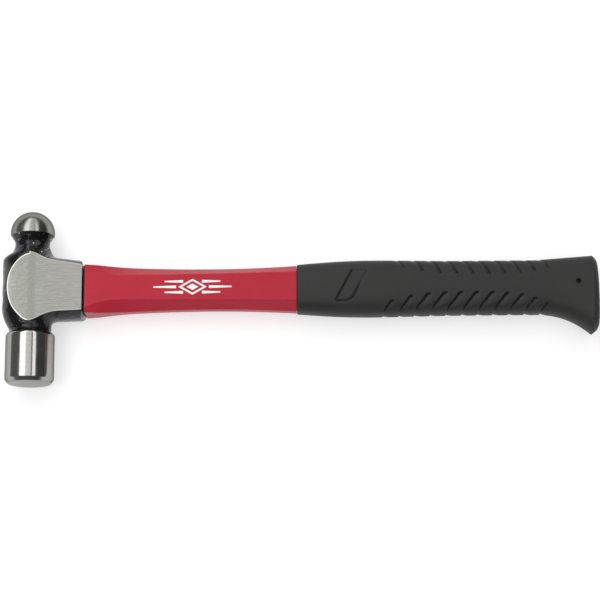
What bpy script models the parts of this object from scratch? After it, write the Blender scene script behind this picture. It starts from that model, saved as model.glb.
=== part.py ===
"""Ball peen hammer, 16 ounce class, with a jacketed fibreglass handle.

The hammer lies on its side. +X runs along the handle from the head to the butt,
+Y points from the striking face to the ball, and +Z is square to the ground
cheeks. The world origin is the middle of the underside of the bounding box.

Every part is modelled in hammer coordinates, whose origin is where the head's
axis (along Y) crosses the handle's axis (along X), and is parented to an empty
that carries these coordinates to their place above the origin. Units are metres.
"""

import math

import bmesh
import bpy
from mathutils import Matrix, Vector

MM = 0.001
TURN = 2.0 * math.pi

# Gap kept between pieces that touch on the real hammer.
GAP = 0.3 * MM

# Overall extents, measured from the head's axis and the handle's axis.
OVERALL_LENGTH = 345.0 * MM
HEAD_TOP_X = -16.8 * MM
BUTT_X = HEAD_TOP_X + OVERALL_LENGTH
POLL_RADIUS = 14.1 * MM

# Ball peen.
BALL_RADIUS = 12.8 * MM
BALL_CENTRE_Y = 34.9 * MM
BALL_RIM_DROP = 1.5 * MM
BALL_APEX_Y = BALL_CENTRE_Y + BALL_RADIUS

# Necks and the barrel-shaped body between them.
UPPER_NECK_RADIUS = 10.0 * MM
UPPER_NECK_TOP_Y = 29.8 * MM
UPPER_NECK_BOTTOM_Y = 27.2 * MM
LOWER_NECK_RADIUS = 11.9 * MM
LOWER_NECK_TOP_Y = -21.0 * MM
LOWER_NECK_BOTTOM_Y = -23.4 * MM
BARREL_TOP_Y = 22.4 * MM
BARREL_BULGE = 4.8 * MM

# Poll and striking face.
POLL_SHOULDER_Y = -26.3 * MM
POLL_CHAMFER_Y = -51.9 * MM
FACE_Y = -54.5 * MM
FACE_RADIUS = 12.2 * MM

# Eye boss: a round boss about the handle's axis with its two cheeks ground flat.
BOSS_RADIUS = 17.7 * MM
BOSS_END_X = 30.7 * MM
BOSS_TOP_BEVEL = 3.0 * MM
BOSS_TOP_HALF_THICKNESS = 17.7 * MM
CHEEK_HALF_THICKNESS = 12.0 * MM

# Oval eye, the adhesive that fills it, and the core bonded in it.
EYE_HALF_HEIGHT = 11.0 * MM
EYE_HALF_THICKNESS = 7.0 * MM
CORE_HALF_HEIGHT = 8.7 * MM
CORE_HALF_THICKNESS = 5.5 * MM
CORE_TOP_X = -16.0 * MM
CORE_END_X = 317.5 * MM
EPOXY_TOP_X = -16.3 * MM
EPOXY_END_X = BOSS_END_X - GAP

# Seal ring between the head and the jacket.
RING_THICKNESS = 0.5 * MM
RING_HALF_HEIGHT = 13.4 * MM
RING_HALF_THICKNESS = 10.0 * MM
RING_START_X = BOSS_END_X + GAP

# Red jacket: an octagon that narrows to a waist, then a plain tail in the grip.
JACKET_START_X = RING_START_X + RING_THICKNESS + GAP
JACKET_TAPER_X = 39.0 * MM
JACKET_WAIST_X = 104.0 * MM
JACKET_SHOULDER_X = 153.6 * MM
JACKET_END_X = 320.0 * MM
JACKET_HEAD_HALF = 14.5 * MM
JACKET_WAIST_HALF = 12.0 * MM
JACKET_SHOULDER_HALF = 13.6 * MM
JACKET_THICKNESS_HALF = 9.8 * MM
JACKET_THICKNESS_GAIN = 0.3
JACKET_CHAMFER_HEIGHT = 4.3 * MM
JACKET_CHAMFER_THICKNESS = 6.8 * MM
TAIL_HALF_HEIGHT = 11.8 * MM
TAIL_HALF_THICKNESS = 9.2 * MM
JACKET_STATIONS = 26

# Grip: a rounded oval that swells behind its front end and flares at the butt.
GRIP_START_X = JACKET_SHOULDER_X + GAP
GRIP_SWELL_X = 196.0 * MM
GRIP_MIDDLE_X = 250.0 * MM
GRIP_FLARE_X = 292.0 * MM
GRIP_EDGE_X = BUTT_X - 3.6 * MM
GRIP_FRONT_HALF = 14.3 * MM
GRIP_SWELL_HALF = 16.4 * MM
GRIP_MIDDLE_HALF = 15.8 * MM
GRIP_BALL_SIDE_FLARE = 2.5 * MM
GRIP_FACE_SIDE_FLARE = 12.0 * MM
GRIP_FRONT_THICKNESS = 11.1 * MM
GRIP_SWELL_THICKNESS = 12.9 * MM
GRIP_MIDDLE_THICKNESS = 12.2 * MM
GRIP_BUTT_THICKNESS = 13.5 * MM
GRIP_SQUARENESS = 2.5
GRIP_FLARE_POWER = 2.25
GRIP_EDGE_INSET = 2.6 * MM
GRIP_EDGE_RUN = 2.5 * MM
GRIP_END_INSET = 6.0 * MM
GRIP_RIM_LEAN = 0.05
GRIP_STATIONS = 30
GRIP_SIDES = 28
PIN_HOLE_X = 315.5 * MM
PIN_HOLE_Y = 0.9 * MM
PIN_HOLE_RADIUS = 1.6 * MM
PIN_HOLE_FLOOR = 10.2 * MM

HEAD_SIDES = 56
OVAL_SIDES = 32


def clear_scene():
    """Remove every object so that the script can be run again."""
    for item in list(bpy.data.objects):
        bpy.data.objects.remove(item, do_unlink=True)


def new_collection(name):
    """Make a collection under the scene's own."""
    collection = bpy.data.collections.new(name)
    bpy.context.scene.collection.children.link(collection)
    return collection


def make_material(name, colour, roughness, metallic):
    """A Principled BSDF material with one colour."""
    material = bpy.data.materials.new(name)
    material.use_nodes = True
    shader = material.node_tree.nodes["Principled BSDF"]
    shader.inputs["Base Color"].default_value = (*colour, 1.0)
    shader.inputs["Roughness"].default_value = roughness
    shader.inputs["Metallic"].default_value = metallic
    return material


def object_from_bmesh(name, mesh_data, collection):
    """Turn a bmesh into a named object with its normals facing out."""
    bmesh.ops.recalc_face_normals(mesh_data, faces=mesh_data.faces)
    mesh = bpy.data.meshes.new(name)
    mesh_data.to_mesh(mesh)
    mesh_data.free()
    item = bpy.data.objects.new(name, mesh)
    collection.objects.link(item)
    return item


def hide_cutter(item):
    """Mark an object as a cutter: shown as wire and never built."""
    item.hide_render = True
    item.display_type = "WIRE"
    return item


def add_boolean(target, cutter, operation):
    """Join, cut or intersect the target with another object."""
    modifier = target.modifiers.new(operation.lower() + "_" + cutter.name, "BOOLEAN")
    modifier.operation = operation
    modifier.solver = "EXACT"
    modifier.object = cutter


def oval_bar(name, start_x, end_x, half_height, half_thickness, collection):
    """A straight bar of oval section along X."""
    bar = bmesh.new()
    middle = Matrix.Translation(Vector(((start_x + end_x) / 2.0, 0.0, 0.0)))
    scale = Matrix.Diagonal(Vector((1.0, half_height, half_thickness, 1.0)))
    along_x = Matrix.Rotation(math.pi / 2.0, 4, "Y")
    bmesh.ops.create_cone(
        bar,
        cap_ends=True,
        segments=OVAL_SIDES,
        radius1=1.0,
        radius2=1.0,
        depth=end_x - start_x,
        matrix=middle @ scale @ along_x,
    )
    return object_from_bmesh(name, bar, collection)


def loft(name, sections, collection):
    """A closed solid through sections that hold the same number of points."""
    solid = bmesh.new()
    rings = [[solid.verts.new(point) for point in section] for section in sections]
    count = len(rings[0])
    for near, far in zip(rings, rings[1:]):
        for index in range(count):
            following = (index + 1) % count
            solid.faces.new((near[index], near[following], far[following], far[index]))
    solid.faces.new(rings[0])
    solid.faces.new(rings[-1])
    return object_from_bmesh(name, solid, collection)


def smooth_step(value):
    """Rise from 0 to 1 with no slope at either end."""
    value = min(1.0, max(0.0, value))
    return value * value * (3.0 - 2.0 * value)


# ---------------------------------------------------------------- hammer head


def ball_profile():
    """The ball from its apex down to just below its widest ring."""
    last_angle = math.pi / 2.0 + math.asin(BALL_RIM_DROP / BALL_RADIUS)
    steps = 14
    profile = []
    for index in range(steps + 1):
        angle = last_angle * index / steps
        radius = BALL_RADIUS * math.sin(angle)
        height = BALL_CENTRE_Y + BALL_RADIUS * math.cos(angle)
        profile.append((radius, height))
    profile[0] = (0.0, BALL_APEX_Y)
    return profile


def barrel_profile():
    """The body's swell between the two necks."""
    middle = (BARREL_TOP_Y + LOWER_NECK_TOP_Y) / 2.0
    half_length = (BARREL_TOP_Y - LOWER_NECK_TOP_Y) / 2.0
    steps = 14
    profile = []
    for index in range(steps + 1):
        place = 1.0 - 2.0 * index / steps
        swell = math.cos(place * math.pi / 2.0) ** 2
        profile.append((LOWER_NECK_RADIUS + BARREL_BULGE * swell, middle + place * half_length))
    return profile


def head_profile():
    """The turned part of the head, as (radius, height) from the ball to the face."""
    profile = ball_profile()
    profile.append((UPPER_NECK_RADIUS, UPPER_NECK_TOP_Y))
    profile.append((UPPER_NECK_RADIUS, UPPER_NECK_BOTTOM_Y))
    profile.extend(barrel_profile())
    profile.append((LOWER_NECK_RADIUS, LOWER_NECK_BOTTOM_Y))
    profile.append((POLL_RADIUS, POLL_SHOULDER_Y))
    profile.append((POLL_RADIUS, POLL_CHAMFER_Y))
    profile.append((FACE_RADIUS, FACE_Y))
    profile.append((0.0, FACE_Y))
    return profile


def make_turned_head(name, collection):
    """Ball, necks, barrel and poll, turned about Z and laid along Y."""
    mesh = bpy.data.meshes.new(name)
    points = [(radius, 0.0, height) for radius, height in head_profile()]
    edges = [(index, index + 1) for index in range(len(points) - 1)]
    mesh.from_pydata(points, edges, [])
    item = bpy.data.objects.new(name, mesh)
    collection.objects.link(item)
    item.rotation_euler = (-math.pi / 2.0, 0.0, 0.0)
    screw = item.modifiers.new("turn", "SCREW")
    screw.steps = HEAD_SIDES
    screw.render_steps = HEAD_SIDES
    screw.use_merge_vertices = True
    screw.merge_threshold = 0.01 * MM
    return item


def make_boss(cutters):
    """The round eye boss, with its top end rounded off about the head's axis."""
    solid = bmesh.new()
    middle = Matrix.Translation(Vector(((HEAD_TOP_X + BOSS_END_X) / 2.0, 0.0, 0.0)))
    bmesh.ops.create_cone(
        solid,
        cap_ends=True,
        segments=HEAD_SIDES,
        radius1=BOSS_RADIUS,
        radius2=BOSS_RADIUS,
        depth=BOSS_END_X - HEAD_TOP_X,
        matrix=middle @ Matrix.Rotation(math.pi / 2.0, 4, "Y"),
    )
    edge_x = HEAD_TOP_X + 0.01 * MM
    top_edges = [edge for edge in solid.edges if all(vert.co.x < edge_x for vert in edge.verts)]
    bmesh.ops.bevel(
        solid,
        geom=top_edges,
        offset=BOSS_TOP_BEVEL,
        segments=3,
        affect="EDGES",
        profile=0.5,
    )
    boss = object_from_bmesh("boss", solid, cutters)
    add_boolean(boss, make_boss_envelope(cutters), "INTERSECT")
    return hide_cutter(boss)


def make_boss_envelope(cutters):
    """A D-shaped prism along Y: half an oval at the top end and square behind."""
    steps = 16
    reach = BOSS_END_X + 10.0 * MM
    outline = [(reach, -BOSS_TOP_HALF_THICKNESS)]
    for index in range(steps + 1):
        angle = -math.pi / 2.0 - math.pi * index / steps
        outline.append((-HEAD_TOP_X * math.cos(angle), BOSS_TOP_HALF_THICKNESS * math.sin(angle)))
    outline.append((reach, BOSS_TOP_HALF_THICKNESS))
    half_width = 2.0 * BOSS_RADIUS
    sections = [[(x, side * half_width, z) for x, z in outline] for side in (-1.0, 1.0)]
    return hide_cutter(loft("boss_envelope", sections, cutters))


def make_cheek_cutter(name, side, cutters):
    """The slab of metal that is ground off one side of the boss."""
    depth = 10.0 * MM
    cutter = bmesh.new()
    middle_y = (BARREL_TOP_Y + LOWER_NECK_TOP_Y) / 2.0
    width_y = BARREL_TOP_Y - LOWER_NECK_TOP_Y
    centre = Vector((0.0, middle_y, side * (CHEEK_HALF_THICKNESS + depth / 2.0)))
    size = Matrix.Diagonal(Vector((100.0 * MM, width_y, depth, 1.0)))
    bmesh.ops.create_cube(cutter, size=1.0, matrix=Matrix.Translation(centre) @ size)
    return hide_cutter(object_from_bmesh(name, cutter, cutters))


def make_head(parts, cutters):
    """Turned body joined to the eye boss, ground on both cheeks and pierced."""
    head = make_turned_head("hammer_head", parts)
    add_boolean(head, make_boss(cutters), "UNION")
    add_boolean(head, make_cheek_cutter("upper_cheek_cutter", 1.0, cutters), "DIFFERENCE")
    add_boolean(head, make_cheek_cutter("lower_cheek_cutter", -1.0, cutters), "DIFFERENCE")
    margin = 10.0 * MM
    eye = oval_bar(
        "eye_cutter",
        HEAD_TOP_X - margin,
        BOSS_END_X + margin,
        EYE_HALF_HEIGHT,
        EYE_HALF_THICKNESS,
        cutters,
    )
    add_boolean(head, hide_cutter(eye), "DIFFERENCE")
    return head


# ------------------------------------------------------ core, adhesive, seal


def make_core(parts):
    """The oval fibreglass rod."""
    return oval_bar(
        "handle_core",
        CORE_TOP_X,
        CORE_END_X,
        CORE_HALF_HEIGHT,
        CORE_HALF_THICKNESS,
        parts,
    )


def make_core_cutter(name, cutters):
    """A longer bar that leaves the gap around the core."""
    margin = 30.0 * MM
    cutter = oval_bar(
        name,
        CORE_TOP_X - margin,
        CORE_END_X + margin,
        CORE_HALF_HEIGHT + GAP,
        CORE_HALF_THICKNESS + GAP,
        cutters,
    )
    return hide_cutter(cutter)


def make_epoxy(parts, core_cutter):
    """The sleeve of adhesive between the core and the wall of the eye."""
    epoxy = oval_bar(
        "eye_epoxy",
        EPOXY_TOP_X,
        EPOXY_END_X,
        EYE_HALF_HEIGHT - GAP,
        EYE_HALF_THICKNESS - GAP,
        parts,
    )
    add_boolean(epoxy, core_cutter, "DIFFERENCE")
    return epoxy


def make_seal_ring(parts, core_cutter):
    """The thin ring that keeps liquid adhesive in the eye."""
    ring = oval_bar(
        "eye_seal_ring",
        RING_START_X,
        RING_START_X + RING_THICKNESS,
        RING_HALF_HEIGHT,
        RING_HALF_THICKNESS,
        parts,
    )
    add_boolean(ring, core_cutter, "DIFFERENCE")
    return ring


# --------------------------------------------------------------------- jacket


def octagon(x, half_height, half_thickness):
    """An eight-sided section across the handle, flat on its broad sides."""
    flat = half_height - JACKET_CHAMFER_HEIGHT
    side = half_thickness - JACKET_CHAMFER_THICKNESS
    quarter = [(half_height, side), (flat, half_thickness)]
    corners = quarter + [(-y, z) for y, z in reversed(quarter)]
    corners = corners + [(-y, -z) for y, z in corners]
    return [(x, y, z) for y, z in corners]


def jacket_half_height(x):
    """Half height of the exposed jacket: full at the head, slim at the waist."""
    if x <= JACKET_WAIST_X:
        reach = (JACKET_WAIST_X - x) / (JACKET_WAIST_X - JACKET_TAPER_X)
        gain = JACKET_HEAD_HALF - JACKET_WAIST_HALF
        return JACKET_WAIST_HALF + gain * min(1.0, reach) ** 2.0
    reach = (x - JACKET_WAIST_X) / (JACKET_SHOULDER_X - JACKET_WAIST_X)
    gain = JACKET_SHOULDER_HALF - JACKET_WAIST_HALF
    return JACKET_WAIST_HALF + gain * reach ** 2.0


def jacket_section(x):
    """The exposed octagon at one place along the handle."""
    half_height = jacket_half_height(x)
    thickness_gain = JACKET_THICKNESS_GAIN * (half_height - JACKET_WAIST_HALF)
    return octagon(x, half_height, JACKET_THICKNESS_HALF + thickness_gain)


def make_jacket(parts, core_cutter):
    """The exposed red octagon, a square shoulder, and the tail inside the grip."""
    step = (JACKET_SHOULDER_X - JACKET_START_X) / JACKET_STATIONS
    sections = [jacket_section(JACKET_START_X + step * index) for index in range(JACKET_STATIONS + 1)]
    sections.append(octagon(JACKET_SHOULDER_X, TAIL_HALF_HEIGHT, TAIL_HALF_THICKNESS))
    sections.append(octagon(JACKET_END_X, TAIL_HALF_HEIGHT, TAIL_HALF_THICKNESS))
    jacket = loft("handle_jacket", sections, parts)
    add_boolean(jacket, core_cutter, "DIFFERENCE")
    return jacket


# ----------------------------------------------------------------------- grip


def grip_swell(x, front, swell, middle):
    """A size that rises from the grip's front to its swell, then eases off."""
    if x <= GRIP_SWELL_X:
        rise = (x - GRIP_START_X) / (GRIP_SWELL_X - GRIP_START_X)
        return front + (swell - front) * math.sin(min(1.0, rise) * math.pi / 2.0)
    fall = (x - GRIP_SWELL_X) / (GRIP_MIDDLE_X - GRIP_SWELL_X)
    return swell + (middle - swell) * smooth_step(fall)


def grip_outline(x):
    """Ball side, face side and half thickness of the grip at one place."""
    half = grip_swell(x, GRIP_FRONT_HALF, GRIP_SWELL_HALF, GRIP_MIDDLE_HALF)
    thickness = grip_swell(x, GRIP_FRONT_THICKNESS, GRIP_SWELL_THICKNESS, GRIP_MIDDLE_THICKNESS)
    flare = max(0.0, (x - GRIP_FLARE_X) / (GRIP_EDGE_X - GRIP_FLARE_X))
    ball_side = half + GRIP_BALL_SIDE_FLARE * flare
    face_side = half + GRIP_FACE_SIDE_FLARE * flare**GRIP_FLARE_POWER
    thickness += (GRIP_BUTT_THICKNESS - GRIP_MIDDLE_THICKNESS) * flare**2
    return ball_side, face_side, thickness


def rounded_section(x, ball_side, face_side, thickness, inset, lean):
    """A superellipse between the two sides, drawn in by the inset.

    A section may lean, its face side lagging behind its ball side.
    """
    centre = (ball_side - face_side) / 2.0
    half_height = (ball_side + face_side) / 2.0 - inset
    half_thickness = thickness - inset
    power = 2.0 / GRIP_SQUARENESS
    section = []
    for index in range(GRIP_SIDES):
        angle = TURN * index / GRIP_SIDES
        cosine = math.cos(angle)
        sine = math.sin(angle)
        y = centre + half_height * math.copysign(abs(cosine) ** power, cosine)
        z = half_thickness * math.copysign(abs(sine) ** power, sine)
        section.append((x + lean * y, y, z))
    return section


def make_grip(parts, cutters):
    """The soft grip with its cavity for the jacket's tail and its two pin holes."""
    step = (GRIP_EDGE_X - GRIP_START_X) / GRIP_STATIONS
    sections = []
    for index in range(GRIP_STATIONS + 1):
        x = GRIP_START_X + step * index
        flare = max(0.0, (x - GRIP_FLARE_X) / (GRIP_EDGE_X - GRIP_FLARE_X))
        sections.append(rounded_section(x, *grip_outline(x), 0.0, GRIP_RIM_LEAN * flare))
    butt = grip_outline(GRIP_EDGE_X)
    run_x = GRIP_EDGE_X + GRIP_EDGE_RUN
    sections.append(rounded_section(run_x, *butt, GRIP_EDGE_INSET, GRIP_RIM_LEAN / 2.0))
    sections.append(rounded_section(BUTT_X, *butt, GRIP_END_INSET, 0.0))
    grip = loft("grip", sections, parts)
    add_boolean(grip, make_cavity_cutter(cutters), "DIFFERENCE")
    add_boolean(grip, make_pin_cutter("upper_pin_cutter", 1.0, cutters), "DIFFERENCE")
    add_boolean(grip, make_pin_cutter("lower_pin_cutter", -1.0, cutters), "DIFFERENCE")
    return grip


def make_cavity_cutter(cutters):
    """The hollow for the jacket's tail, a gap larger all round."""
    clearance = 1.2 * GAP
    margin = 10.0 * MM
    half_height = TAIL_HALF_HEIGHT + clearance
    half_thickness = TAIL_HALF_THICKNESS + clearance
    ends = (GRIP_START_X - margin, JACKET_END_X + GAP)
    sections = [octagon(x, half_height, half_thickness) for x in ends]
    return hide_cutter(loft("cavity_cutter", sections, cutters))


def make_pin_cutter(name, side, cutters):
    """One small blind hole in the grip's broad side."""
    depth = 12.0 * MM
    cutter = bmesh.new()
    centre = Vector((PIN_HOLE_X, PIN_HOLE_Y, side * (PIN_HOLE_FLOOR + depth / 2.0)))
    bmesh.ops.create_cone(
        cutter,
        cap_ends=True,
        segments=16,
        radius1=PIN_HOLE_RADIUS,
        radius2=PIN_HOLE_RADIUS,
        depth=depth,
        matrix=Matrix.Translation(centre),
    )
    return hide_cutter(object_from_bmesh(name, cutter, cutters))


# ---------------------------------------------------------------------- build


def make_datum(parts):
    """The empty that carries hammer coordinates to their place in the world."""
    datum = bpy.data.objects.new("hammer_datum", None)
    parts.objects.link(datum)
    x = -(HEAD_TOP_X + BUTT_X) / 2.0
    y = -(BALL_APEX_Y + FACE_Y) / 2.0
    datum.location = (x, y, POLL_RADIUS)
    return datum


def finish_part(item, material):
    """Give a part its material and shade its round stretches smooth."""
    item.data.materials.append(material)
    item.data.shade_smooth()
    item.data.set_sharp_from_angle(angle=math.radians(30.0))


def main():
    clear_scene()
    parts = new_collection("ball_peen_hammer")
    cutters = new_collection("cutters")
    core_cutter = make_core_cutter("core_cutter", cutters)
    steel = make_material("forged_steel", (0.42, 0.42, 0.40), 0.3, 1.0)
    glass = make_material("fibreglass", (0.75, 0.70, 0.52), 0.5, 0.0)
    epoxy = make_material("epoxy", (0.10, 0.09, 0.08), 0.3, 0.0)
    seal = make_material("seal_rubber", (0.03, 0.03, 0.03), 0.7, 0.0)
    red = make_material("red_plastic", (0.46, 0.03, 0.05), 0.25, 0.0)
    rubber = make_material("grip_rubber", (0.05, 0.05, 0.05), 0.6, 0.0)
    finish_part(make_head(parts, cutters), steel)
    finish_part(make_core(parts), glass)
    finish_part(make_epoxy(parts, core_cutter), epoxy)
    finish_part(make_seal_ring(parts, core_cutter), seal)
    finish_part(make_jacket(parts, core_cutter), red)
    finish_part(make_grip(parts, cutters), rubber)
    datum = make_datum(parts)
    for item in list(parts.objects) + list(cutters.objects):
        if item is not datum:
            item.parent = datum


main()
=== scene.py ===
"""The looks of the ball peen hammer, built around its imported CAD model.

Shapes are worked out in hammer coordinates, in millimetres: the origin is where the
head's axis (along Y) crosses the handle's axis (along X), +X runs to the butt, +Y to
the ball, and +Z is square to the ground cheeks. Every piece has its object's origin
there, so a material's object coordinates are hammer coordinates in metres.
"""

import math

import bmesh
import bpy
import numpy as np
from mathutils import Matrix, Vector


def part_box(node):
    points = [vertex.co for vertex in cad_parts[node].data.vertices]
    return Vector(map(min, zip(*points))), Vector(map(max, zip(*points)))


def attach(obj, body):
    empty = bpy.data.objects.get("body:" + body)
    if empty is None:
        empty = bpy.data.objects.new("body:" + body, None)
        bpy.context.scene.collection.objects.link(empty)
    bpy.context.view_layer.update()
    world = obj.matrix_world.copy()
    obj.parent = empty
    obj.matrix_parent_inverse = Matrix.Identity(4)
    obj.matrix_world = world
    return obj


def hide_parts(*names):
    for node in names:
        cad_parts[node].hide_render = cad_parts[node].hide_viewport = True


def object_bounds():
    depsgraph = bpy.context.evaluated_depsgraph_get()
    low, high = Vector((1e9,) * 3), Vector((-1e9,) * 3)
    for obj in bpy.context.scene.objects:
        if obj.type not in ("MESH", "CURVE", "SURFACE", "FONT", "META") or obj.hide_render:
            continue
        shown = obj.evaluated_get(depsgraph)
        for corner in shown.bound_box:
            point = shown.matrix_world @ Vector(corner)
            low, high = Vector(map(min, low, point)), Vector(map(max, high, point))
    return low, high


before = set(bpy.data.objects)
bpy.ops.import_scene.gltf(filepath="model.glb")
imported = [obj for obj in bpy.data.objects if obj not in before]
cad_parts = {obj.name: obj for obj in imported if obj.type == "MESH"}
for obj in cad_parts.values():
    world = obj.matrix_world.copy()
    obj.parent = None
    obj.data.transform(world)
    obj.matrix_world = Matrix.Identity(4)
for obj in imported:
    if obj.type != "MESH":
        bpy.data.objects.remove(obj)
cad_low, cad_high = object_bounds()

MM = 0.001
TURN = 2.0 * math.pi

# How far the head's top end stands out from the datum.
HEAD_TOP = 16.8
head_low, head_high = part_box("hammer_head")
core_low, core_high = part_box("handle_core")
grip_low, grip_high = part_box("grip")
jacket_low, jacket_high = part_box("handle_jacket")
ring_low, ring_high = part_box("eye_seal_ring")
epoxy_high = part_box("eye_epoxy")[1]
DATUM = Vector((
    head_low.x + HEAD_TOP * MM,
    (core_low.y + core_high.y) / 2.0,
    (core_low.z + core_high.z) / 2.0,
))


def along(corner, axis):
    """One coordinate of a frame corner, in hammer millimetres."""
    return (corner[axis] - DATUM[axis]) / MM


# Distances from the datum to what the frame gives.
FACE_Y = along(head_low, 1)
APEX_Y = along(head_high, 1)
POLL_RADIUS = along(head_high, 2)
BOSS_END = along(head_high, 0)
RING_START = along(ring_low, 0)
RING_END = along(ring_high, 0)
JACKET_START = along(jacket_low, 0)
JACKET_END = along(jacket_high, 0)
GRIP_START = along(grip_low, 0)
BUTT = along(grip_high, 0)
CORE_START = along(core_low, 0)
CORE_END = along(core_high, 0)
CORE_HALF = (along(core_high, 1), along(core_high, 2))
EPOXY_END = along(epoxy_high, 0)
EPOXY_HALF = (along(epoxy_high, 1), along(epoxy_high, 2))

GAP = 0.3
OVAL_ANGLES = TURN * np.arange(72) / 72


# ------------------------------------------------------------------- functions


def smooth_step(value):
    """Rise from 0 to 1 with no slope at either end."""
    value = np.clip(value, 0.0, 1.0)
    return value * value * (3.0 - 2.0 * value)


def smooth_min(first, second, width):
    """The smaller of two fields, with a fillet where they meet."""
    closeness = np.maximum(width - np.abs(first - second), 0.0) / width
    return np.minimum(first, second) - closeness * closeness * width / 4.0


def smooth_max(first, second, width):
    """The larger of two fields, with a rounded meeting line."""
    return -smooth_min(-first, -second, width)


def path_distance(x, y, path):
    """Distance from a path, positive on its left, and the place along it, 0 to 1."""
    path = np.array(path, float)
    lengths = np.hypot(*(path[1:] - path[:-1]).T)
    before = np.concatenate(([0.0], np.cumsum(lengths)))
    nearest = np.full(np.shape(x), 1e9)
    place = np.zeros(np.shape(x))
    for index, (start, end) in enumerate(zip(path, path[1:])):
        run = end - start
        share = ((x - start[0]) * run[0] + (y - start[1]) * run[1]) / (run @ run)
        share = np.clip(share, 0.0, 1.0)
        distance = np.hypot(x - start[0] - share * run[0], y - start[1] - share * run[1])
        left = (y - start[1]) * run[0] - (x - start[0]) * run[1]
        closer = distance < np.abs(nearest)
        nearest = np.where(closer, np.copysign(distance, left), nearest)
        place = np.where(closer, (before[index] + share * lengths[index]) / before[-1], place)
    return nearest, place


def curve_through(points, steps):
    """A smooth curve through a few points (Catmull-Rom)."""
    points = np.array(points, float)
    padded = np.vstack((2 * points[0] - points[1], points, 2 * points[-1] - points[-2]))
    curve = []
    for a, b, c, d in zip(padded, padded[1:], padded[2:], padded[3:]):
        for t in np.arange(steps) / steps:
            curve.append(0.5 * (2 * b + (c - a) * t + (2 * a - 5 * b + 4 * c - d) * t**2
                                + (3 * b - a - 3 * c + d) * t**3))
    curve.append(points[-1])
    return curve


# ---------------------------------------------------------------- mesh helpers


def object_from_mesh(name, mesh_data):
    """An object at the datum from a bmesh in hammer millimetres."""
    bmesh.ops.recalc_face_normals(mesh_data, faces=mesh_data.faces)
    bmesh.ops.scale(mesh_data, vec=(MM, MM, MM), verts=mesh_data.verts)
    mesh = bpy.data.meshes.new(name)
    mesh_data.to_mesh(mesh)
    mesh_data.free()
    item = bpy.data.objects.new(name, mesh)
    item.location = DATUM
    bpy.context.scene.collection.objects.link(item)
    return item


def loft(loops, closed=False):
    """A bmesh through loops of equal count, capped at both ends or closed on itself."""
    loops = np.array(loops, float)
    count = loops.shape[1]
    solid = bmesh.new()
    rings = [[solid.verts.new(point) for point in loop] for loop in loops]
    following = rings[1:] + rings[:1] if closed else rings[1:]
    for near, far in zip(rings, following):
        for index in range(count):
            after = (index + 1) % count
            solid.faces.new((near[index], near[after], far[after], far[index]))
    if not closed:
        solid.faces.new(rings[0])
        solid.faces.new(rings[-1])
    return solid


def shade(item, angle=32.0, weighted=False):
    """Smooth shading that breaks at sharp edges."""
    item.data.shade_smooth()
    item.data.set_sharp_from_angle(angle=math.radians(angle))
    if weighted:
        modifier = item.modifiers.new("even_normals", "WEIGHTED_NORMAL")
        modifier.keep_sharp = True


def break_at_finishes(item):
    """Break the smooth shading wherever two finishes meet."""
    solid = bmesh.new()
    solid.from_mesh(item.data)
    for edge in solid.edges:
        if len({face.material_index for face in edge.link_faces}) > 1:
            edge.smooth = False
    solid.to_mesh(item.data)
    solid.free()


def cut(item, cutter):
    """Subtract one object from another and remove the cutter."""
    modifier = item.modifiers.new("cut", "BOOLEAN")
    modifier.operation = "DIFFERENCE"
    modifier.solver = "EXACT"
    modifier.object = cutter
    bpy.context.view_layer.update()
    evaluated = item.evaluated_get(bpy.context.evaluated_depsgraph_get())
    mesh = bpy.data.meshes.new_from_object(evaluated)
    item.modifiers.clear()
    item.data = mesh
    mesh.name = item.name
    bpy.data.objects.remove(cutter, do_unlink=True)


def loop_at(x, section):
    """A section of (y, z) rows as a loop of points at one place along the handle."""
    return np.column_stack((np.full(len(section), x), section))


def oval_loop(x, half_height, half_thickness, angles=OVAL_ANGLES):
    """An ellipse across the handle."""
    section = np.column_stack((half_height * np.cos(angles), half_thickness * np.sin(angles)))
    return loop_at(x, section)


def bearings(section):
    """The angle of each point of a section, seen from the handle's axis."""
    return np.arctan2(section[:, 1], section[:, 0])


def surface_net(field, low, high, cell):
    """Vertices and quads on a field's zero surface, with every vertex pulled onto it."""
    axes = [np.arange(a, b + cell, cell) for a, b in zip(low, high)]
    value = field(*np.meshgrid(*axes, indexing="ij"))
    shape = np.array(value.shape) + 1
    total = np.zeros((*shape, 3))
    hits = np.zeros(shape)
    quads = []
    for axis in range(3):
        lower = np.moveaxis(value, axis, 0)[:-1]
        upper = np.moveaxis(value, axis, 0)[1:]
        crossing = np.argwhere((lower < 0.0) != (upper < 0.0))
        below = lower[tuple(crossing.T)]
        above = upper[tuple(crossing.T)]
        order = [axis] + [other for other in range(3) if other != axis]
        node = np.empty_like(crossing)
        node[:, order] = crossing
        place = node.astype(float)
        place[:, axis] += below / (below - above)
        point = np.array(low) + place * cell
        corners = []
        for step in ((0, 0), (1, 0), (1, 1), (0, 1)):
            corner = node.copy()
            corner[:, axis] += 1
            corner[:, order[1]] += step[0]
            corner[:, order[2]] += step[1]
            np.add.at(total, tuple(corner.T), point)
            np.add.at(hits, tuple(corner.T), 1)
            corners.append(np.ravel_multi_index(tuple(corner.T), shape))
        quads.append(np.column_stack(corners))
    used = np.flatnonzero(hits.ravel())
    number = np.full(hits.size, -1)
    number[used] = np.arange(len(used))
    points = total.reshape(-1, 3)[used] / hits.ravel()[used][:, None]
    nudge = 0.02
    for _ in range(3):
        here = field(*points.T)
        slope = np.column_stack([
            (field(*(points + nudge * side).T) - field(*(points - nudge * side).T)) / (2.0 * nudge)
            for side in np.eye(3)])
        points -= slope * (here / np.maximum((slope**2).sum(1), 0.05))[:, None]
    return points, number[np.vstack(quads)]


# ----------------------------------------------------------------- hammer head

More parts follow.
